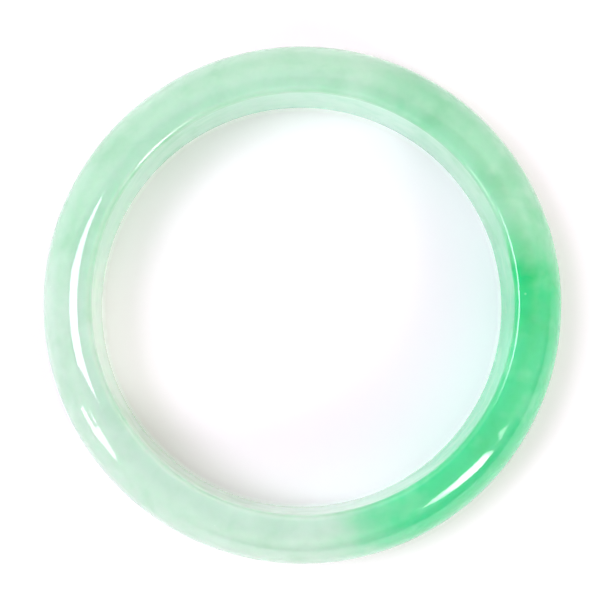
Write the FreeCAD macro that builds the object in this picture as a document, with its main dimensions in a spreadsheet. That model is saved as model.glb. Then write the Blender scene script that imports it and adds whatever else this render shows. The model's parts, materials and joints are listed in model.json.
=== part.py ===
import FreeCAD, Part
import math
import os

import Sketcher

# A closed bangle: one ring ground and polished from a single block of jadeite, so it is one body.
# All lengths are in millimetres. The ring lies flat on its lower rim: its axis is Z, and the origin
# is the centre of the opening, on the plane that the lower rim rests on.
#
# The section, cut through one side of the ring (r points to the right, z points up):
#
#      upper land
#     .-----.--__
#     |          `.
#     |            \
#     | inner wall  |  crown
#     |            /
#     '-----'--_-'
#      lower land
#
# The inner wall is straight, and both its edges are rounded. A narrow flat land runs out from each
# edge: the ring rests on the lower one. The crown is half an ellipse, level where it meets the lands.

DOCUMENT_NAME = "jade_bangle"
NODE_NAME = "bangle_ring"
PARTS_FOLDER = "parts"

# alias, value in mm, what it is
SIZES = [
    ("inner_diameter", 56.0, "opening that the hand passes through"),
    ("band_height", 13.6, "rim to rim, along the axis of the ring"),
    ("rim_width", 1.4, "inner wall to the start of the crown, edge rounding included"),
    ("crown_depth", 5.8, "start of the crown to its widest point"),
    ("edge_radius", 0.8, "rounding of both edges of the inner wall"),
]

# two lengths closer than this are the same length
SAME_LENGTH = 1e-6


def make_size_sheet(document):
    """Put every driving size in a spreadsheet, one row each, and name its value cell."""
    sheet = document.addObject("Spreadsheet::Sheet", "Sizes")
    for row, (alias, value, meaning) in enumerate(SIZES, start=1):
        sheet.set(f"A{row}", meaning)
        sheet.set(f"B{row}", str(value))
        sheet.setAlias(f"B{row}", alias)
    document.recompute()
    return sheet


def origin_feature(body, role):
    """Return one of the body's own origin planes or axes."""
    for feature in body.Origin.OriginFeatures:
        if feature.Role == role:
            return feature
    raise ValueError(f"{body.Name} has no origin feature {role}")


def same_length(first, second):
    return math.isclose(first, second, abs_tol=SAME_LENGTH)


def crown_arc(centre, depth, half_height):
    """Make the arc that runs from below the centre, round its outer side, to above the centre.

    It is half a circle if the crown is as deep as half its height, and half an ellipse otherwise.
    An ellipse is measured from its longer axis, so the arc's angles depend on which one that is.
    """
    if same_length(depth, half_height):
        circle = Part.Circle(centre, FreeCAD.Vector(0, 0, 1), depth)
        return Part.ArcOfCircle(circle, -math.pi / 2, math.pi / 2)
    if half_height > depth:
        ellipse = Part.Ellipse(centre, half_height, depth)
        ellipse.XAxis = FreeCAD.Vector(0, 1, 0)
        return Part.ArcOfEllipse(ellipse, math.pi, 2 * math.pi)
    ellipse = Part.Ellipse(centre, depth, half_height)
    return Part.ArcOfEllipse(ellipse, -math.pi / 2, math.pi / 2)


def draw_section(sketch, sheet):
    """Draw the D-shaped section of the ring and bind its sizes to the spreadsheet."""
    inner_radius = sheet.inner_diameter / 2
    height = sheet.band_height
    crown_start = inner_radius + sheet.rim_width
    crown_centre = FreeCAD.Vector(crown_start, height / 2, 0)

    lower_inner = FreeCAD.Vector(inner_radius, 0, 0)
    upper_inner = FreeCAD.Vector(inner_radius, height, 0)
    lower_start = FreeCAD.Vector(crown_start, 0, 0)
    upper_start = FreeCAD.Vector(crown_start, height, 0)
    widest_point = crown_centre + FreeCAD.Vector(sheet.crown_depth, 0, 0)

    inner_wall = sketch.addGeometry(Part.LineSegment(lower_inner, upper_inner), False)
    upper_land = sketch.addGeometry(Part.LineSegment(upper_inner, upper_start), False)
    lower_land = sketch.addGeometry(Part.LineSegment(lower_start, lower_inner), False)
    crown = sketch.addGeometry(crown_arc(crown_centre, sheet.crown_depth, height / 2), False)
    widest_mark = sketch.addGeometry(Part.Point(widest_point), True)

    # the sketcher's numbers for the two ends and the centre of a line or an arc,
    # and for the sketch's own origin and horizontal axis
    start, end, centre = 1, 2, 3
    sketch_origin = (-1, start)
    horizontal_axis = -1

    def constrain(*values):
        return sketch.addConstraint(Sketcher.Constraint(*values))

    constrain("Vertical", inner_wall)
    constrain("Horizontal", upper_land)
    constrain("Horizontal", lower_land)
    constrain("PointOnObject", inner_wall, start, horizontal_axis)
    constrain("Coincident", inner_wall, end, upper_land, start)
    constrain("Coincident", lower_land, end, inner_wall, start)
    constrain("Vertical", upper_land, end, lower_land, start)

    constrain("Coincident", crown, start, lower_land, start)
    constrain("PointOnObject", widest_mark, start, crown)
    constrain("Horizontal", crown, centre, widest_mark, start)
    if same_length(sheet.crown_depth, height / 2):
        # its two ends and its widest point are enough for a circle
        constrain("Coincident", upper_land, end, crown, end)
    else:
        # an ellipse leaves the upper land level, and its centre lies straight below that point,
        # so it is level at the lower land too and its axes stay square to the ring
        constrain("Tangent", upper_land, end, crown, end)
        constrain("Vertical", upper_land, end, crown, centre)

    def bind(formula, *values):
        index = constrain(*values)
        sketch.setExpression(f"Constraints[{index}]", formula)

    bind("Sizes.inner_diameter / 2", "DistanceX", *sketch_origin, inner_wall, start, inner_radius)
    bind("Sizes.band_height", "DistanceY", inner_wall, start, inner_wall, end, height)
    bind("Sizes.rim_width", "DistanceX", upper_land, start, upper_land, end, sheet.rim_width)
    bind("Sizes.crown_depth", "DistanceX", upper_land, end, widest_mark, start, sheet.crown_depth)


def inner_edges(shape, inner_radius):
    """Name the two circular edges where the inner wall meets the rims."""
    names = []
    for number, edge in enumerate(shape.Edges, start=1):
        if isinstance(edge.Curve, Part.Circle) and same_length(edge.Curve.Radius, inner_radius):
            names.append(f"Edge{number}")
    return names


def make_bangle_ring(document, sheet):
    """Turn the section round the ring's axis and round the edges of the inner wall."""
    body = document.addObject("PartDesign::Body", "BangleRing")
    body.Label = NODE_NAME

    section = body.newObject("Sketcher::SketchObject", "RingSection")
    section.AttachmentSupport = [(origin_feature(body, "XZ_Plane"), "")]
    section.MapMode = "FlatFace"
    draw_section(section, sheet)
    document.recompute()

    ring = body.newObject("PartDesign::Revolution", "Ring")
    ring.Profile = section
    ring.ReferenceAxis = (section, ["V_Axis"])
    ring.Angle = 360
    document.recompute()

    rounding = body.newObject("PartDesign::Fillet", "InnerEdgeRounding")
    rounding.Base = (ring, inner_edges(ring.Shape, sheet.inner_diameter / 2))
    rounding.setExpression("Radius", "Sizes.edge_radius")
    body.Tip = rounding
    body.Placement = FreeCAD.Placement()
    document.recompute()
    return body


def check_document(document, bodies):
    """Stop if any object failed, or if a sub-part is empty, invalid or not one solid."""
    for item in document.Objects:
        if "Invalid" in item.State or "Error" in item.State:
            raise RuntimeError(f"{item.Name} failed: {item.State}")
    for body in bodies:
        shape = body.Shape
        if shape.isNull() or not shape.isValid() or len(shape.Solids) != 1:
            raise RuntimeError(f"{body.Label} is not one valid solid")


def print_sizes(body):
    """Print what came out, to compare with the sizes that went in."""
    box = body.Shape.optimalBoundingBox(False)
    print(f"{body.Label}: {box.XLength:.3f} x {box.YLength:.3f} x {box.ZLength:.3f} mm")
    print(f"{body.Label}: volume {body.Shape.Volume:.1f} mm3, {len(body.Shape.Faces)} faces")


def main():
    document = FreeCAD.newDocument(DOCUMENT_NAME)
    sheet = make_size_sheet(document)
    bodies = [make_bangle_ring(document, sheet)]
    check_document(document, bodies)

    os.makedirs(PARTS_FOLDER, exist_ok=True)
    for body in bodies:
        print_sizes(body)
        body.Shape.exportStep(f"{PARTS_FOLDER}/{body.Label}.step")


main()
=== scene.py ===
# %% [markdown]
# # A jade bangle
#
# A closed bangle is one ring of stone. A craftsperson drills it out of a block with a core drill, grinds
# the outside to a dome, leaves the bore straight, eases the two inner edges and polishes it all to a gloss.
# So this scene has one piece, and everything else goes into its surface: the stone's clouds, the band of
# strong green that runs round a quarter of it, the light that soaks in, and the polish on top.
#
# Everything is in metres, in the same place as the engineering model. The ring lies on its lower rim, its
# axis is Z, and the origin is the centre of the opening at floor level.

import json
import math

import bmesh
import bpy
from mathutils import Matrix, Vector


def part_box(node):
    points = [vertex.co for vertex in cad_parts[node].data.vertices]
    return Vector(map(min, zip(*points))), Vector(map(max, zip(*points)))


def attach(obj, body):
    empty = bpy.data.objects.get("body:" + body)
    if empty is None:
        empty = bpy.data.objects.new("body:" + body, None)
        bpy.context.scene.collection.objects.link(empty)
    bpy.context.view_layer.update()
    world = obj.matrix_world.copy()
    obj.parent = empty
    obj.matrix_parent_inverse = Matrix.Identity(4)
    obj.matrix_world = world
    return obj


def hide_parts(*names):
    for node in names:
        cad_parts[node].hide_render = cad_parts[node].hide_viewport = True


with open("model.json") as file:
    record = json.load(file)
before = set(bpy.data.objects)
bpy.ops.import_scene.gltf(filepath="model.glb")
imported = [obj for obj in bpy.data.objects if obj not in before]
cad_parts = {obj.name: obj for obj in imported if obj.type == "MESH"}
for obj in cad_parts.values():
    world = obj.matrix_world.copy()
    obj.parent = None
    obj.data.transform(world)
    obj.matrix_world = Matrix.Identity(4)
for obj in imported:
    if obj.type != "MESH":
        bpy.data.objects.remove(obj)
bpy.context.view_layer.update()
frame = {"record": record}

MM = 0.001


# %% [markdown]
# ## A helper for node trees
#
# Geometry, materials and the room are all made of nodes here. Each node is added by one call that names its
# kind, its inputs and its own options. An input can be a plain value, another node's output, or a node. A
# node stands for its first output in use, and most nodes have only one.

# %% Add a node
def add_node(tree, kind, inputs=None, **options):
    """Add a node to a tree. inputs maps a socket's name or number to a value, an output or a node."""
    node = tree.nodes.new(kind)
    for option, value in options.items():
        setattr(node, option, value)
    for key, value in (inputs or {}).items():
        if isinstance(value, bpy.types.Node):
            value = next(output for output in value.outputs if output.enabled)
        if isinstance(value, bpy.types.NodeSocket):
            tree.links.new(value, node.inputs[key])
        else:
            node.inputs[key].default_value = value
    return node


# A Mix node has several sockets of the same name, so its colours are reached by number.
MIX_FACTOR, MIX_FIRST, MIX_SECOND = 0, 6, 7

# the value that a noise wavers about, half way between its ends
NOISE_MIDDLE = 0.5


# %% [markdown]
# ## The ring
#
# The real ring is a D-shaped section turned round an axis, so its shape follows a rule. It could be made
# with a Spin or a Screw modifier, but a Geometry Nodes tree keeps every size as a named input, as on a
# grinder's card: the bore, the height, the width of the flat rim, the depth of the dome and the rounding of
# the edges. The section is drawn from arcs and lines, welded into one loop, and swept round a circle.

# %% Sizes of the ring
low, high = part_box("bangle_ring")
bore = next(mount for mount in frame["record"]["mounts"] if mount["name"] == "wrist_opening")

BAND_HEIGHT = high[2] - low[2]
OUTER_RADIUS = (high[1] - low[1]) / 2
BORE_RADIUS = bore["dims"]["r_mm"] * MM
EDGE_RADIUS = (BAND_HEIGHT - bore["dims"]["length_mm"] * MM) / 2
RIM_WIDTH = 1.4 * MM  # the frame doesn't say this one
CROWN_DEPTH = OUTER_RADIUS - BORE_RADIUS - RIM_WIDTH

print(f"bore {2 * BORE_RADIUS / MM:.1f} mm, outside {2 * OUTER_RADIUS / MM:.1f} mm")
print(f"height {BAND_HEIGHT / MM:.1f} mm, dome {CROWN_DEPTH / MM:.1f} mm deep")
print(f"edges rounded by {EDGE_RADIUS / MM:.1f} mm")


# %% [markdown]
# A hand-ground ring is never quite true. Two small errors of the real thing are kept: the outside is ground
# a little off the bore's centre, and the polish leaves very shallow waves that bend the reflections.

# %% Small errors of hand grinding
OFF_CENTRE = 0.10 * MM
OFF_CENTRE_ANGLE = math.radians(73)
WAVE_DEPTH = 0.03 * MM
WAVE_SPACING = 14 * MM

print(f"{OFF_CENTRE / MM:.2f} mm off centre, waves {WAVE_DEPTH / MM:.2f} mm deep")


# %% [markdown]
# The tree reads its sizes from named inputs. The step counts say how finely each stroke of the section is
# divided: the crown most of all, because it mirrors the room.

# %% The inputs of the tree
RING_INPUTS = {
    "Bore Radius": BORE_RADIUS,
    "Band Height": BAND_HEIGHT,
    "Rim Width": RIM_WIDTH,
    "Crown Depth": CROWN_DEPTH,
    "Edge Radius": EDGE_RADIUS,
    "Off Centre": OFF_CENTRE,
    "Off Centre Angle": OFF_CENTRE_ANGLE,
    "Wave Depth": WAVE_DEPTH,
    "Wave Spacing": WAVE_SPACING,
}
STEPS_AROUND = 480
STEPS_CROWN = 57
STEPS_EDGE = 9
STEPS_WALL = 13
STEPS_LAND = 4
WELD = 0.001 * MM

steps_of_section = STEPS_CROWN + 2 * STEPS_EDGE + 2 * STEPS_LAND + STEPS_WALL
print(f"{STEPS_AROUND} steps round the ring, about {steps_of_section} round the section")


# %% Two steps of the tree: the small errors
def shift_outside(tree, ring, sizes):
    """Shift the outside off the bore's centre: nothing at the bore, all of it at the widest point."""
    position = add_node(tree, "GeometryNodeInputPosition")
    flat = add_node(tree, "ShaderNodeVectorMath", {0: position, 1: (1.0, 1.0, 0.0)}, operation="MULTIPLY")
    radius = add_node(tree, "ShaderNodeVectorMath", {0: flat}, operation="LENGTH")
    start = add_node(tree, "ShaderNodeMath", {0: sizes["Bore Radius"], 1: sizes["Edge Radius"]},
                     operation="ADD")
    end = add_node(tree, "ShaderNodeMath", {0: start, 1: sizes["Crown Depth"]}, operation="ADD")
    amount = add_node(tree, "ShaderNodeMapRange", {
        "Value": radius, "From Min": start, "From Max": end, "To Max": sizes["Off Centre"]},
        interpolation_type="SMOOTHSTEP")
    cosine = add_node(tree, "ShaderNodeMath", {0: sizes["Off Centre Angle"]}, operation="COSINE")
    sine = add_node(tree, "ShaderNodeMath", {0: sizes["Off Centre Angle"]}, operation="SINE")
    way = add_node(tree, "ShaderNodeCombineXYZ", {"X": cosine, "Y": sine})
    shift = add_node(tree, "ShaderNodeVectorMath", {0: way, "Scale": amount}, operation="SCALE")
    return add_node(tree, "GeometryNodeSetPosition", {"Geometry": ring, "Offset": shift})


def add_waves(tree, ring, sizes):
    """Push the surface in and out, square to itself, by the polisher's shallow waves."""
    position = add_node(tree, "GeometryNodeInputPosition")
    scale = add_node(tree, "ShaderNodeMath", {0: 1.0, 1: sizes["Wave Spacing"]}, operation="DIVIDE")
    waves = add_node(tree, "ShaderNodeTexNoise", {"Vector": position, "Scale": scale, "Detail": 1.0})
    centred = add_node(tree, "ShaderNodeMath", {0: waves, 1: NOISE_MIDDLE}, operation="SUBTRACT")
    whole_depth = add_node(tree, "ShaderNodeMath", {0: sizes["Wave Depth"], 1: 2.0}, operation="MULTIPLY")
    depth = add_node(tree, "ShaderNodeMath", {0: centred, 1: whole_depth}, operation="MULTIPLY")
    normal = add_node(tree, "GeometryNodeInputNormal")
    offset = add_node(tree, "ShaderNodeVectorMath", {0: normal, "Scale": depth}, operation="SCALE")
    return add_node(tree, "GeometryNodeSetPosition", {"Geometry": ring, "Offset": offset})


# %% [markdown]
# The section is drawn as six strokes, one for each face of the finished ring. Its X runs outwards from the
# bore and its Y runs up, with the middle of the wall at zero.

# %% The tree that makes the ring
def ring_tree():
    """Build the Geometry Nodes tree that sweeps the D-shaped section round the bore."""
    tree = bpy.data.node_groups.new("turned_ring", "GeometryNodeTree")
    for name in RING_INPUTS:
        tree.interface.new_socket(name, in_out="INPUT", socket_type="NodeSocketFloat")
    tree.interface.new_socket("Material", in_out="INPUT", socket_type="NodeSocketMaterial")
    tree.interface.new_socket("Geometry", in_out="OUTPUT", socket_type="NodeSocketGeometry")
    sizes = add_node(tree, "NodeGroupInput").outputs

    half_height = add_node(tree, "ShaderNodeMath", {0: sizes["Band Height"], 1: 2.0}, operation="DIVIDE")
    wall_top = add_node(tree, "ShaderNodeMath", {0: half_height, 1: sizes["Edge Radius"]},
                        operation="SUBTRACT")

    # the edges and the lands come twice, on the upper side (1) and the lower side (-1)
    def edge_arc(side):
        """The rounding of one inner edge, a quarter of a circle."""
        arc = add_node(tree, "GeometryNodeCurveArc", {
            "Resolution": STEPS_EDGE, "Radius": sizes["Edge Radius"],
            "Start Angle": math.pi / 2 if side > 0 else math.pi, "Sweep Angle": math.pi / 2})
        height = add_node(tree, "ShaderNodeMath", {0: wall_top, 1: side}, operation="MULTIPLY")
        centre = add_node(tree, "ShaderNodeCombineXYZ", {"X": sizes["Edge Radius"], "Y": height})
        return add_node(tree, "GeometryNodeTransform", {"Geometry": arc, "Translation": centre})

    def straight(start, end, steps):
        """A line in even steps."""
        line = add_node(tree, "GeometryNodeCurvePrimitiveLine", {"Start": start, "End": end})
        return add_node(tree, "GeometryNodeResampleCurve", {"Curve": line, "Count": steps})

    def land(side):
        """The flat land of one rim."""
        height = add_node(tree, "ShaderNodeMath", {0: half_height, 1: side}, operation="MULTIPLY")
        start = add_node(tree, "ShaderNodeCombineXYZ", {"X": sizes["Edge Radius"], "Y": height})
        end = add_node(tree, "ShaderNodeCombineXYZ", {"X": sizes["Rim Width"], "Y": height})
        return straight(start, end, STEPS_LAND)

    # the crown: half a circle of radius 1, stretched to half an ellipse
    half_circle = add_node(tree, "GeometryNodeCurveArc", {
        "Resolution": STEPS_CROWN, "Radius": 1.0, "Start Angle": -math.pi / 2, "Sweep Angle": math.pi})
    crown_centre = add_node(tree, "ShaderNodeCombineXYZ", {"X": sizes["Rim Width"]})
    stretch = add_node(tree, "ShaderNodeCombineXYZ",
                       {"X": sizes["Crown Depth"], "Y": half_height, "Z": 1.0})
    crown = add_node(tree, "GeometryNodeTransform",
                     {"Geometry": half_circle, "Translation": crown_centre, "Scale": stretch})

    wall_bottom = add_node(tree, "ShaderNodeMath", {0: wall_top, 1: -1.0}, operation="MULTIPLY")
    upper_end = add_node(tree, "ShaderNodeCombineXYZ", {"Y": wall_top})
    lower_end = add_node(tree, "ShaderNodeCombineXYZ", {"Y": wall_bottom})
    wall = straight(upper_end, lower_end, STEPS_WALL)

    # weld the loose strokes into one closed loop
    strokes = add_node(tree, "GeometryNodeJoinGeometry")
    for stroke in (crown, land(1), land(-1), edge_arc(1), edge_arc(-1), wall):
        tree.links.new(stroke.outputs[0], strokes.inputs[0])
    wires = add_node(tree, "GeometryNodeCurveToMesh", {"Curve": strokes})
    welded = add_node(tree, "GeometryNodeMergeByDistance", {"Geometry": wires, "Distance": WELD})
    section = add_node(tree, "GeometryNodeMeshToCurve", {"Mesh": welded})

    # sweep it round the bore, and lift the ring onto its lower rim
    circle = add_node(tree, "GeometryNodeCurvePrimitiveCircle",
                      {"Resolution": STEPS_AROUND, "Radius": sizes["Bore Radius"]})
    sweep = add_node(tree, "GeometryNodeCurveToMesh", {"Curve": circle, "Profile Curve": section})
    lift = add_node(tree, "ShaderNodeCombineXYZ", {"Z": half_height})
    lifted = add_node(tree, "GeometryNodeTransform", {"Geometry": sweep, "Translation": lift})

    waved = add_waves(tree, shift_outside(tree, lifted, sizes), sizes)
    smooth = add_node(tree, "GeometryNodeSetShadeSmooth", {"Geometry": waved})
    whole = add_node(tree, "GeometryNodeRealizeInstances", {"Geometry": smooth})
    painted = add_node(tree, "GeometryNodeSetMaterial", {"Geometry": whole, "Material": sizes["Material"]})
    add_node(tree, "NodeGroupOutput", {0: painted})
    return tree


# %% [markdown]
# The tree is run once through a modifier on an empty mesh, and its result is kept as a plain mesh. A sweep
# can come out with its faces pointing inwards, so they are turned outwards before the mesh is used.

# %% Turn the ring
def make_ring(material):
    """Run the tree, keep its result as a plain mesh, and check that it is one closed skin."""
    tree = ring_tree()
    blank = bpy.data.objects.new("ring_blank", bpy.data.meshes.new("ring_blank"))
    bpy.context.scene.collection.objects.link(blank)
    modifier = blank.modifiers.new("turned_ring", "NODES")
    modifier.node_group = tree
    values = dict(RING_INPUTS, Material=material)
    for item in tree.interface.items_tree:
        if item.in_out == "INPUT":
            modifier[item.identifier] = values[item.name]

    evaluated = blank.evaluated_get(bpy.context.evaluated_depsgraph_get())
    mesh = bpy.data.meshes.new_from_object(evaluated)
    bpy.data.objects.remove(blank)

    skin = bmesh.new()
    skin.from_mesh(mesh)
    bmesh.ops.recalc_face_normals(skin, faces=skin.faces)
    open_edges = sum(1 for edge in skin.edges if len(edge.link_faces) != 2)
    print(f"ring: {len(skin.faces)} faces, {open_edges} open edges, {skin.calc_volume() * 1e6:.2f} cm3")
    skin.to_mesh(mesh)
    skin.free()

    mesh.name = "jade_ring"
    ring = bpy.data.objects.new("jade_ring", mesh)
    bpy.context.scene.collection.objects.link(ring)
    return ring


# %% [markdown]
# ## The stone
#
# Jadeite is a felt of fine interlocked crystals, polished until it looks wet. Light goes a few millimetres
# in and scatters, so the stone glows softly and its shadows are pale and tinted. The green comes from traces
# of chromium and is never even. Colours are written as sRGB hex and turned to linear once.

# %% Colours
def linear(hex_colour):
    """Turn an sRGB hex colour into the linear RGBA that Blender's sockets hold."""
    def channel(start):
        value = int(hex_colour[start:start + 2], 16) / 255
        return value / 12.92 if value <= 0.04045 else ((value + 0.055) / 1.055) ** 2.4
    return (channel(1), channel(3), channel(5), 1.0)


print("linear #808080:", [round(value, 4) for value in linear("#808080")])


# %% Fill a ramp
def fill_ramp(ramp, stops):
    """Set a colour ramp's stops. A stop is (place from 0 to 1, RGBA colour)."""
    stops = sorted(stops)
    while len(ramp.elements) < len(stops):
        ramp.elements.new(1.0)
    for element, (place, colour) in zip(ramp.elements, stops):
        element.position = place
        element.color = colour


def round_the_ring(degrees):
    """Place an angle on a ramp that runs from -180 to 180 degrees, measured from +X."""
    return ((degrees + 180) % 360) / 360


# %% [markdown]
# The block was cut from uneven rock, so the colour belongs to places round the ring: a strong green quarter
# with one vivid vein, a softer apple green beside it, a duller spring green, a wide stretch of celadon, and a
# long milky one. The bore has paler tints of its own, partly the stone's and partly painted light: they stand
# in for the light that comes through the stone onto the wall. The borders aren't straight cuts: the angle is
# pushed to and fro by noise before it reaches the ramps.

# %% Tints of the stone
MILKY = "#b0cfbc"
CELADON = "#a3cfb4"
SPRING = "#84c6a0"
APPLE = "#8ecca8"
STRONG = "#48c88c"
VIVID = "#10c278"

PALE_MILKY = "#d0e8da"
PALE_CELADON = "#b4e0cb"
PALE_APPLE = "#a8dcbc"
PALE_STRONG = "#44d898"
PALE_VIVID = "#20cc86"

# where each tint is, in degrees round the ring from +X
DOME_COLOURS = [
    (-180, MILKY), (-85, MILKY), (-65, STRONG), (-10, STRONG), (7, VIVID), (20, APPLE), (45, APPLE),
    (60, SPRING), (75, CELADON), (165, CELADON)]
# the bore's tints are paler partly as painted light, for light that comes through the stone onto the wall
BORE_TINTS_AND_LIGHT = [
    (-170, PALE_MILKY), (-85, PALE_MILKY), (-45, PALE_STRONG), (-15, PALE_STRONG), (0, PALE_VIVID),
    (35, PALE_APPLE), (60, PALE_CELADON), (160, PALE_CELADON)]

print(f"{len(DOME_COLOURS)} stops on the dome, {len(BORE_TINTS_AND_LIGHT)} on the bore")


# %% [markdown]
# The main colours need two things of each point: how far round the ring it is, and whether it is on the wall
# of the bore. Painted shade makes the eased edge at the top of the bore a little darker and greyer than the
# dome, because this thin edge lets light through and sends less of it back.

# %% The main colours
BORDER_SPACING = 7.0  # mm between the bends in a border
BORDER_PUSH = 0.06  # share of a turn
HALF_TURN = 0.5  # puts the ramp's ends at the back, at -X
WALL_DEPTH = 0.10  # mm
WALL_FADE = 0.5  # mm
# painted shade on the eased edge: where it starts and where it is full, in mm from the bore, and its tint
EDGE_SHADE_SPAN = (0.85, 0.35)  # mm outwards from the bore, where its tint starts and where it is full
EDGE_PAINTED_SHADE = "#fef8fb"


def tints_round_the_ring(tree, turn, stops):
    """Turn a place round the ring, from 0 to 1, into a colour. The ramp's ends meet in the same colour."""
    ramp = add_node(tree, "ShaderNodeValToRGB", {"Fac": turn})
    places = [(round_the_ring(angle), linear(colour)) for angle, colour in stops]
    fill_ramp(ramp.color_ramp, [*places, (1.0, places[0][1])])
    return ramp


def main_colours(tree, in_mm):
    """Colour the dome and the bore, each by its own tints, with painted shade on the eased edge and painted
    light in the bore's paler tints.
    """
    parts = add_node(tree, "ShaderNodeSeparateXYZ", {0: in_mm}).outputs
    bore_radius = BORE_RADIUS / MM
    wall_top = (BAND_HEIGHT - EDGE_RADIUS) / MM

    # how far round the ring, pushed to and fro so that the borders aren't straight
    bends = add_node(tree, "ShaderNodeTexNoise", {
        "Vector": in_mm, "Scale": 1 / BORDER_SPACING, "Detail": 4.0})
    centred = add_node(tree, "ShaderNodeMath", {0: bends, 1: NOISE_MIDDLE}, operation="SUBTRACT")
    push = add_node(tree, "ShaderNodeMath", {0: centred, 1: BORDER_PUSH}, operation="MULTIPLY")
    angle = add_node(tree, "ShaderNodeMath", {0: parts["Y"], 1: parts["X"]}, operation="ARCTAN2")
    turns = add_node(tree, "ShaderNodeMath", {0: angle, 1: 2 * math.pi}, operation="DIVIDE")
    from_back = add_node(tree, "ShaderNodeMath", {0: turns, 1: HALF_TURN}, operation="ADD")
    pushed = add_node(tree, "ShaderNodeMath", {0: from_back, 1: push}, operation="ADD")
    turn = add_node(tree, "ShaderNodeMath", {0: pushed}, operation="FRACT")

    # how far from the axis
    flat = add_node(tree, "ShaderNodeCombineXYZ", {"X": parts["X"], "Y": parts["Y"]})
    radius = add_node(tree, "ShaderNodeVectorMath", {0: flat}, operation="LENGTH")

    # painted shade: the eased edge is toned a little darker and greyer, for the light it lets through
    edge_shade = add_node(tree, "ShaderNodeMapRange", {
        "Value": radius, "From Min": bore_radius + EDGE_SHADE_SPAN[0], "From Max": bore_radius + EDGE_SHADE_SPAN[1]},
        interpolation_type="SMOOTHSTEP")
    dome = add_node(tree, "ShaderNodeMix", {
        MIX_FACTOR: edge_shade, MIX_FIRST: tints_round_the_ring(tree, turn, DOME_COLOURS),
        MIX_SECOND: linear(EDGE_PAINTED_SHADE)}, data_type="RGBA", blend_type="MULTIPLY")

    # the wall's tints stop behind its face, and near its top
    behind_wall = add_node(tree, "ShaderNodeMapRange", {
        "Value": radius, "From Min": bore_radius, "From Max": bore_radius + WALL_DEPTH},
        interpolation_type="SMOOTHSTEP")
    over_wall = add_node(tree, "ShaderNodeMapRange", {
        "Value": parts["Z"], "From Min": wall_top - WALL_FADE, "From Max": wall_top},
        interpolation_type="SMOOTHSTEP")
    off_the_wall = add_node(tree, "ShaderNodeMath", {0: behind_wall, 1: over_wall}, operation="MAXIMUM")
    return add_node(tree, "ShaderNodeMix", {
        MIX_FACTOR: off_the_wall, MIX_FIRST: tints_round_the_ring(tree, turn, BORE_TINTS_AND_LIGHT),
        MIX_SECOND: dome}, data_type="RGBA")


# %% [markdown]
# Over the main colours lie pale clouds, patches of deeper green, and a soft grain, which are noises of three
# sizes. A few white specks are crystals that took up no colour. Each pattern stays faint: the stone should
# look even from arm's length and alive from close by.

# %% Patterns in the stone
# spacing in mm, detail, distortion, noise where it starts, noise where it is full, strength, tint, blend
CLOUDS = (4.0, 2.0, 0.0, 0.48, 0.75, 0.11, "#d3ebdb", "MIX")
PATCHES = (6.0, 3.0, 0.4, 0.45, 0.75, 0.28, "#a6e0bc", "MULTIPLY")
GRAIN = (1.3, 1.0, 0.0, 0.40, 0.75, 0.08, "#b8e6c8", "MULTIPLY")

SPECK_SPACING = 3.2  # mm
SPECK_EDGE = (0.07, 0.02)  # share of the spacing, where a speck starts and where it is full
SPECK_STRENGTH = 0.16
SPECK_TINT = "#e6f4ea"

# the patches and the grain are read from beside the ring, so that they don't follow the clouds
BESIDE = (70.0, 0.0, 0.0)  # mm


def lay_pattern(tree, colour, where, pattern):
    """Lay one noise pattern over a colour."""
    spacing, detail, distortion, start, full, strength, tint, blend = pattern
    noise = add_node(tree, "ShaderNodeTexNoise", {
        "Vector": where, "Scale": 1 / spacing, "Detail": detail, "Distortion": distortion})
    amount = add_node(tree, "ShaderNodeMapRange", {
        "Value": noise, "From Min": start, "From Max": full, "To Max": strength},
        interpolation_type="SMOOTHSTEP")
    return add_node(tree, "ShaderNodeMix", {
        MIX_FACTOR: amount, MIX_FIRST: colour, MIX_SECOND: linear(tint)},
        data_type="RGBA", blend_type=blend)


def add_patterns(tree, colour, in_mm):
    """Lay the clouds, the patches, the grain and the white specks over the main colours."""
    beside = add_node(tree, "ShaderNodeVectorMath", {0: in_mm, 1: BESIDE}, operation="ADD")
    for where, pattern in ((in_mm, CLOUDS), (beside, PATCHES), (beside, GRAIN)):
        colour = lay_pattern(tree, colour, where, pattern)
    cells = add_node(tree, "ShaderNodeTexVoronoi", {"Vector": in_mm, "Scale": 1 / SPECK_SPACING})
    specks = add_node(tree, "ShaderNodeMapRange", {
        "Value": cells, "From Min": SPECK_EDGE[0], "From Max": SPECK_EDGE[1], "To Max": SPECK_STRENGTH},
        interpolation_type="SMOOTHSTEP")
    return add_node(tree, "ShaderNodeMix", {
        MIX_FACTOR: specks, MIX_FIRST: colour, MIX_SECOND: linear(SPECK_TINT)}, data_type="RGBA")


# %% [markdown]
# The polish comes last. Harder crystals keep a slightly different gloss and stand about a hundredth of a
# millimetre proud, so the reflections waver. Under the gloss, light goes deepest in green and least in red.

# %% Polished jadeite
JADE_IOR = 1.66
POLISH = (0.025, 0.05)  # roughness of the softest and the hardest crystals
HARDNESS_SPACING = 2.5  # mm
HARDNESS_RANGE = (0.3, 0.7)
RELIEF = 0.012 * MM
LIGHT_DEPTH = (2.2, 3.6, 2.8)  # mm, for red, green and blue


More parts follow.
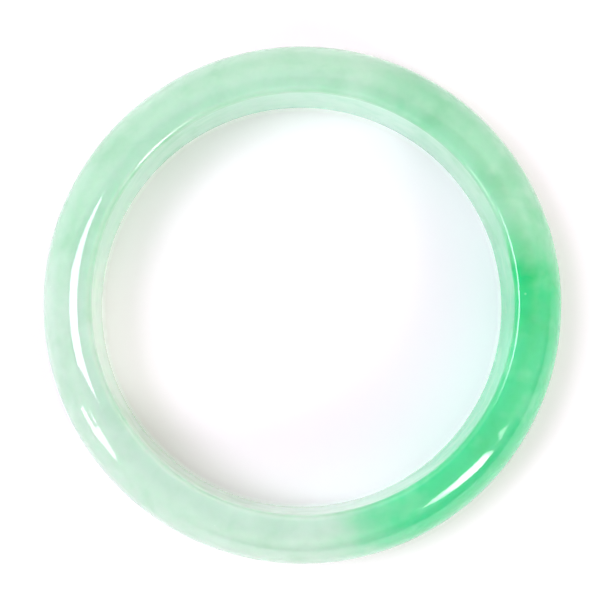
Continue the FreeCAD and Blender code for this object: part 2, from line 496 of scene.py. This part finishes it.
def polished_jadeite():
    """Jadeite polished with fine grit: a soft, milky body that light soaks into, under a glassy gloss.

    The eye gets pale clouds, patches of deeper green, a few white specks, and sharp reflections that
    waver slightly where harder crystals stand proud of softer ones.
    """
    material = bpy.data.materials.new("polished_jadeite")
    material.use_nodes = True
    tree = material.node_tree
    tree.nodes.clear()

    place = add_node(tree, "ShaderNodeTexCoord").outputs["Object"]
    in_mm = add_node(tree, "ShaderNodeVectorMath", {0: place, "Scale": 1 / MM}, operation="SCALE")
    colour = add_patterns(tree, main_colours(tree, in_mm), in_mm)

    hardness = add_node(tree, "ShaderNodeTexNoise", {
        "Vector": in_mm, "Scale": 1 / HARDNESS_SPACING, "Detail": 2.0})
    gloss = add_node(tree, "ShaderNodeMapRange", {
        "Value": hardness, "From Min": HARDNESS_RANGE[0], "From Max": HARDNESS_RANGE[1],
        "To Min": POLISH[0], "To Max": POLISH[1]})
    relief = add_node(tree, "ShaderNodeBump", {"Strength": 1.0, "Distance": RELIEF, "Height": hardness})

    shader = add_node(tree, "ShaderNodeBsdfPrincipled", {
        "Base Color": colour, "Roughness": gloss, "IOR": JADE_IOR, "Normal": relief,
        "Subsurface Weight": 1.0, "Subsurface Radius": LIGHT_DEPTH, "Subsurface Scale": MM})
    add_node(tree, "ShaderNodeOutputMaterial", {"Surface": shader})
    print(f"{material.name}: {len(tree.nodes)} nodes")
    return material


# %% Make the ring of jadeite
jade_ring = make_ring(polished_jadeite())
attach(jade_ring, "root")
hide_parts("bangle_ring")


# %% [markdown]
# ## The studio
#
# A polished thing shows the room it stands in, so most of the look comes from the lights. The ring lies on
# white paper. On the real thing, some light passes through the stone and tints the paper inside the ring.
# The renderer doesn't carry light through the stone to the floor, so two faint glows of the paper stand in
# for it.

# %% Floor
FLOOR_SIZE = 0.8
PAPER = "#f4f4f4"
FOOT_GLOW = (0.08, 0.13, 0.10)
FOOT_GLOW_WIDTH = 0.5 * MM
INNER_GLOW = (0.055, 0.020, 0.060)
INNER_GLOW_SIDE = math.radians(340)
INNER_GLOW_STARTS = 0.3 * BORE_RADIUS
INNER_GLOW_FULL = 0.85 * BORE_RADIUS


def white_paper():
    """Uncoated paper: flat white, with no gloss, so the eye goes to the stone.

    It glows faintly in a line along the bore's foot, and in a wide patch inside the ring, on the side
    that faces the right-hand lights.
    """
    material = bpy.data.materials.new("white_paper")
    material.use_nodes = True
    tree = material.node_tree
    tree.nodes.clear()
    place = add_node(tree, "ShaderNodeTexCoord").outputs["Object"]
    radius = add_node(tree, "ShaderNodeVectorMath", {0: place}, operation="LENGTH")
    side = (math.cos(INNER_GLOW_SIDE), math.sin(INNER_GLOW_SIDE), 0.0)
    to_side = add_node(tree, "ShaderNodeVectorMath", {0: place, 1: side}, operation="DOT_PRODUCT")

    def glow(value, start, end, colour):
        """Fade a colour in while value goes from start to end."""
        rise = add_node(tree, "ShaderNodeMapRange", {"Value": value, "From Min": start, "From Max": end})
        return add_node(tree, "ShaderNodeVectorMath", {0: colour, "Scale": rise}, operation="SCALE")

    foot = glow(radius, BORE_RADIUS - FOOT_GLOW_WIDTH, BORE_RADIUS, FOOT_GLOW)
    inner = glow(to_side, INNER_GLOW_STARTS, INNER_GLOW_FULL, INNER_GLOW)
    both = add_node(tree, "ShaderNodeVectorMath", {0: foot, 1: inner}, operation="ADD")
    inside = add_node(tree, "ShaderNodeMath", {0: radius, 1: BORE_RADIUS + EDGE_RADIUS},
                      operation="LESS_THAN")
    shader = add_node(tree, "ShaderNodeBsdfPrincipled", {
        "Base Color": linear(PAPER), "Roughness": 1.0, "Specular IOR Level": 0.0,
        "Emission Color": both, "Emission Strength": inside})
    add_node(tree, "ShaderNodeOutputMaterial", {"Surface": shader})
    return material


bpy.ops.mesh.primitive_plane_add(size=FLOOR_SIZE)
floor = bpy.context.object
floor.name = "floor"
floor.data.materials.append(white_paper())
print(f"floor {FLOOR_SIZE:.1f} m wide")


# %% [markdown]
# The lights are soft panels, such as a softbox or a lit sheet of cloth. Each shows in the polish as a bright
# shape with its own outline, so the outlines matter more than on a matt object. The right panel has a core
# that is brighter, where the lamp stands behind the cloth, and a dim narrow panel beside it. The panels light
# the ring and show in its polish, but the camera itself doesn't see them.

# %% Light panels
def light_panel(name, azimuth, from_vertical, outline, radiance, colour=(1.0, 1.0, 1.0), distance=1.0):
    """A soft light in the shape of its outline, facing the ring from a distance in metres.

    Angles are in degrees. The outline's points are metres across and up, for a panel 1 m away.
    """
    lean, turn = math.radians(from_vertical), math.radians(azimuth)
    way = Vector((math.sin(lean) * math.cos(turn), math.sin(lean) * math.sin(turn), math.cos(lean)))
    across = Vector((-math.sin(turn), math.cos(turn), 0.0))
    up = way.cross(across)
    mesh = bpy.data.meshes.new(name)
    corners = [(way + across * x + up * y) * distance for x, y in outline]
    mesh.from_pydata(corners, [], [range(len(corners))])
    panel = bpy.data.objects.new(name, mesh)
    panel.visible_camera = False
    bpy.context.scene.collection.objects.link(panel)

    material = bpy.data.materials.new(name + "_glow")
    material.use_nodes = True
    tree = material.node_tree
    tree.nodes.clear()
    glow = add_node(tree, "ShaderNodeEmission", {"Color": (*colour, 1.0), "Strength": radiance})
    add_node(tree, "ShaderNodeOutputMaterial", {"Surface": glow})
    mesh.materials.append(material)
    print(f"{name}: {len(corners)} corners, radiance {radiance}")


# %% Hang the panels
LEFT = (176, 31)
LOW = (211, 70)
RIGHT = (314, 56)
CORE_DISTANCE = 0.98  # in front of the right panel
KEY_COLOUR = (1.0, 0.95, 1.12)

light_panel("key_left", *LEFT,
            [(-0.24, 0.13), (-0.09, -0.21), (0.20, -0.16), (0.15, 0.23), (-0.20, 0.21)], 9.2, KEY_COLOUR)
light_panel("key_low", *LOW,
            [(-0.13, -0.23), (0.0, -0.22), (0.14, -0.09), (0.09, 0.11), (0.01, 0.22), (-0.10, 0.22),
             (-0.10, 0.18), (-0.03, 0.16), (-0.03, -0.02), (-0.13, -0.02)], 7.4)
light_panel("key_right", *RIGHT,
            [(-0.16, 0.05), (-0.10, 0.19), (0.03, 0.22), (0.13, 0.13), (0.18, -0.18), (0.10, -0.24),
             (-0.04, -0.14)], 8.8)
light_panel("key_right_core", *RIGHT,
            [(-0.08, 0.09), (0.02, 0.18), (0.12, 0.10), (0.16, -0.17), (0.09, -0.21), (-0.03, -0.10)],
            16.0, distance=CORE_DISTANCE)
light_panel("key_right_edge", *RIGHT, [(0.20, 0.24), (0.27, -0.01), (0.22, -0.15)], 5.0)


# %% [markdown]
# The room itself lights the ring softly and shows in its polish: pale walls, one brighter wall behind the
# ring that begins at a straight edge overhead, a dim ceiling, and a shaded wall low on the near right. It is
# a world shader, and all of it follows from the direction that a ray takes.

# %% Room
WALL_LIGHT = (1.03, 1.06, 0.93, 1.0)
CEILING_LIGHT = (0.42, 0.16, 0.49)
CEILING_TOWARDS_X = (0.70, 0.50, -0.34)
CEILING_ENDS = math.cos(math.radians(28))
WALLS_BEGIN = math.cos(math.radians(55))
BACK_WALL_LIGHT = (0.90, 0.80, 0.88)
BACK_WALL_SLOPE = 0.46
SHADE_AZIMUTH = math.radians(300)
SHADE_SLOPE = 0.9
SHADE_BEGINS = 0.35
SHADE_FULL = 0.75
SHADE_DEPTH = 0.80
BACKDROP = 1.0  # strength of the white that the camera sees behind everything
BLACK = (0.0, 0.0, 0.0, 1.0)
WHITE = (1.0, 1.0, 1.0, 1.0)
BACK_WALL_EDGE = 0.01  # half the width of the soft line where the back wall begins


def brighter_back_wall(tree, parts, light):
    """Add the back wall's light to everything on the far side of a slanting plane through the ring."""
    past_plane = add_node(tree, "ShaderNodeMath", {0: parts["Z"], 1: -BACK_WALL_SLOPE, 2: parts["Y"]},
                          operation="MULTIPLY_ADD")
    amount = add_node(tree, "ShaderNodeMapRange", {
        "Value": past_plane, "From Min": -BACK_WALL_EDGE, "From Max": BACK_WALL_EDGE})
    upward = add_node(tree, "ShaderNodeMath", {0: parts["Z"], 1: 0.0}, operation="MAXIMUM")
    extra = add_node(tree, "ShaderNodeVectorMath", {0: upward, 1: BACK_WALL_LIGHT}, operation="MULTIPLY")
    brighter = add_node(tree, "ShaderNodeVectorMath", {0: light, 1: extra}, operation="ADD")
    return add_node(tree, "ShaderNodeMix", {
        MIX_FACTOR: amount, MIX_FIRST: light, MIX_SECOND: brighter}, data_type="RGBA")


def make_room():
    """Light the scene from a room that is drawn by direction. The camera sees a plain white backdrop."""
    world = bpy.data.worlds.new("studio_room")
    bpy.context.scene.world = world
    world.use_nodes = True
    tree = world.node_tree
    tree.nodes.clear()

    way = add_node(tree, "ShaderNodeTexCoord").outputs["Generated"]
    parts = add_node(tree, "ShaderNodeSeparateXYZ", {0: way}).outputs

    # the ceiling, which changes towards +X, and the walls below it
    towards_x = add_node(tree, "ShaderNodeMath", {0: parts["X"], 1: 0.0}, operation="MAXIMUM")
    change = add_node(tree, "ShaderNodeVectorMath", {0: towards_x, 1: CEILING_TOWARDS_X},
                      operation="MULTIPLY")
    changed = add_node(tree, "ShaderNodeVectorMath", {0: change, 1: CEILING_LIGHT}, operation="ADD")
    ceiling = add_node(tree, "ShaderNodeVectorMath", {0: changed, 1: (0.0, 0.0, 0.0)}, operation="MAXIMUM")
    downward = add_node(tree, "ShaderNodeMapRange", {
        "Value": parts["Z"], "From Min": CEILING_ENDS, "From Max": WALLS_BEGIN})
    light = add_node(tree, "ShaderNodeMix", {
        MIX_FACTOR: downward, MIX_FIRST: ceiling, MIX_SECOND: WALL_LIGHT}, data_type="RGBA")

    # the shaded wall: low down, and turned to one side
    shade_side = (math.cos(SHADE_AZIMUTH), math.sin(SHADE_AZIMUTH), -SHADE_SLOPE)
    into_shade = add_node(tree, "ShaderNodeVectorMath", {0: way, 1: shade_side}, operation="DOT_PRODUCT")
    rise = add_node(tree, "ShaderNodeMapRange", {
        "Value": into_shade, "From Min": SHADE_BEGINS, "From Max": SHADE_FULL})
    shade = add_node(tree, "ShaderNodeMath", {0: rise, 1: SHADE_DEPTH}, operation="MULTIPLY")
    light = add_node(tree, "ShaderNodeMix", {
        MIX_FACTOR: shade, MIX_FIRST: light, MIX_SECOND: BLACK}, data_type="RGBA")
    light = brighter_back_wall(tree, parts, light)

    room = add_node(tree, "ShaderNodeBackground", {"Color": light})
    plain = add_node(tree, "ShaderNodeBackground", {"Color": WHITE, "Strength": BACKDROP})
    seen = add_node(tree, "ShaderNodeLightPath").outputs["Is Camera Ray"]
    both = add_node(tree, "ShaderNodeMixShader", {0: seen, 1: room, 2: plain})
    add_node(tree, "ShaderNodeOutputWorld", {"Surface": both})
    print(f"{world.name}: {len(tree.nodes)} nodes")


make_room()


# %% [markdown]
# The camera looks almost straight down from about 21 cm, close enough for the far end of the bore to show
# inside the near one. That shows the wall, the rim and the dome at once.

# %% Camera
CAMERA_AT = Vector((-3.19, -8.94, 211.95)) * MM
CAMERA_TILT_Y = math.radians(-0.791)
CAMERA_TILT_X = math.radians(2.654)
CAMERA_LENS = 90.40
CAMERA_SENSOR = 36.0
CLIP_START = 0.01

camera = bpy.data.objects.new("camera", bpy.data.cameras.new("camera"))
camera.data.sensor_width = CAMERA_SENSOR
camera.data.lens = CAMERA_LENS
camera.data.clip_start = CLIP_START
camera.location = CAMERA_AT
camera.rotation_euler = (Matrix.Rotation(CAMERA_TILT_Y, 4, "Y")
                         @ Matrix.Rotation(CAMERA_TILT_X, 4, "X")).to_euler()
scene = bpy.context.scene
scene.collection.objects.link(camera)
scene.camera = camera
scene.view_settings.view_transform = "Standard"
print("camera at, in mm:", [round(value / MM, 2) for value in CAMERA_AT])
